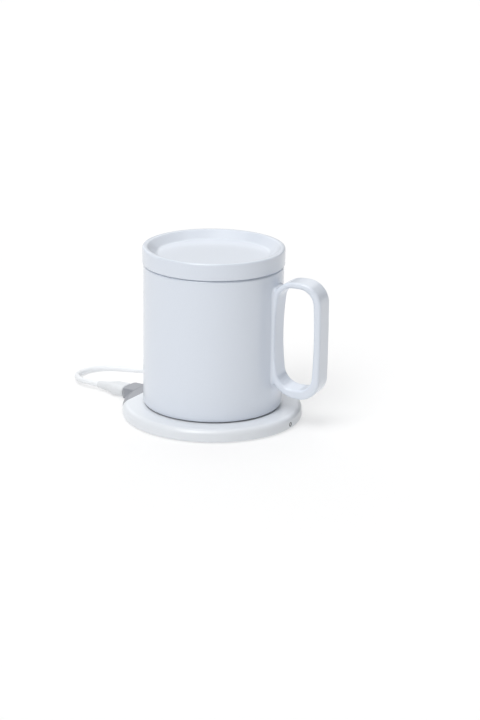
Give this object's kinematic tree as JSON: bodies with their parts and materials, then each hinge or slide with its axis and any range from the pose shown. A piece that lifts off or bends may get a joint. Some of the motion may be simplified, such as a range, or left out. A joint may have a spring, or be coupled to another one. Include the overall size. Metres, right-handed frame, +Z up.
{
  "type": "electric mug warmer",
  "caption": "Heated mug with dished lid and strap handle on a thin round charging pad with a grey USB-C port end piece, indicator light and coiled USB lead.",
  "frame": {"origin": "centre of the underside of the pad's silicone foot, on the surface the pad stands on, on the axis of pad, mug and lid", "axes": "+Z up; -X towards the USB port; +X towards the indicator light, with the handle 5.9 degrees to its +Y side"},
  "size_m": [0.1793, 0.1625, 0.1031],
  "materials": {
    "white_pad": "white moulded ABS, fine satin gloss",
    "grey_bezel": "mid grey moulded ABS, satin",
    "foot_silicone": "pale grey silicone, matt",
    "screw_steel": "zinc-plated steel",
    "light_lens": "smoke grey diffuser",
    "socket_steel": "nickel-plated steel",
    "black_plastic": "black engineering plastic",
    "board_green": "green solder mask",
    "ferrite": "sintered ferrite",
    "capacitor_tan": "ceramic capacitor body",
    "copper": "enamelled copper litz",
    "mug_ceramic": "white satin glaze, slightly cool",
    "heater_film": "polyimide heating film",
    "insulation": "closed-cell silicone foam",
    "seal_silicone": "translucent grey silicone",
    "cord_white": "white TPE, satin",
    "tie_grey": "grey hook-and-loop tie",
    "insert_white": "white connector insert",
    "contact_gold": "gold-flashed contacts"
  },
  "bodies": {
    "pad": {"pad_top_shell": "white_pad", "port_bezel": "grey_bezel", "pad_bottom_cover": "white_pad", "pad_foot": "foot_silicone", "case_screws": "screw_steel", "light_guide": "light_lens", "usb_c_socket": "socket_steel", "usb_c_tongue": "black_plastic", "transmitter_board": "board_green", "controller_chip": "black_plastic", "inductor": "ferrite", "driver_chips": "black_plastic", "resonant_capacitors": "capacitor_tan", "status_led": "light_lens", "transmitter_ferrite": "ferrite", "transmitter_coil": "copper", "transmitter_leads": "copper", "pad_thermistor": "black_plastic"},
    "mug": {"mug_body": "mug_ceramic", "mug_handle": "mug_ceramic", "heating_disc": "heater_film", "insulation_disc": "insulation", "heater_pins": "socket_steel", "mug_thermistor": "black_plastic", "receiver_board": "board_green", "receiver_chips": "black_plastic", "receiver_ferrite": "ferrite", "receiver_coil": "copper", "receiver_leads": "copper", "base_cap": "white_pad", "base_seal": "seal_silicone"},
    "lid": {"lid": "mug_ceramic", "lid_seal": "seal_silicone"},
    "usb_lead": {"usb_c_plug_shell": "socket_steel", "usb_c_moulding": "cord_white", "usb_c_relief": "cord_white", "usb_cord": "cord_white", "cord_coil": "cord_white", "cord_tie": "tie_grey", "cord_tail": "cord_white", "usb_a_relief": "cord_white", "usb_a_moulding": "cord_white", "usb_a_shell": "socket_steel", "usb_a_insert": "insert_white", "usb_a_contacts": "contact_gold"}
  },
  "joints": [
    {"name": "mug_lift", "type": "slide", "parent": "pad", "child": "mug", "axis": [0, 0, 1], "range_m": [0, 0.12]},
    {"name": "lid_lift", "type": "slide", "parent": "mug", "child": "lid", "axis": [0, 0, 1], "range_m": [0, 0.08]},
    {"name": "plug_pull", "type": "slide", "parent": "pad", "child": "usb_lead", "axis": [-1, 0, 0], "range_m": [0, 0.012]}
  ]
}
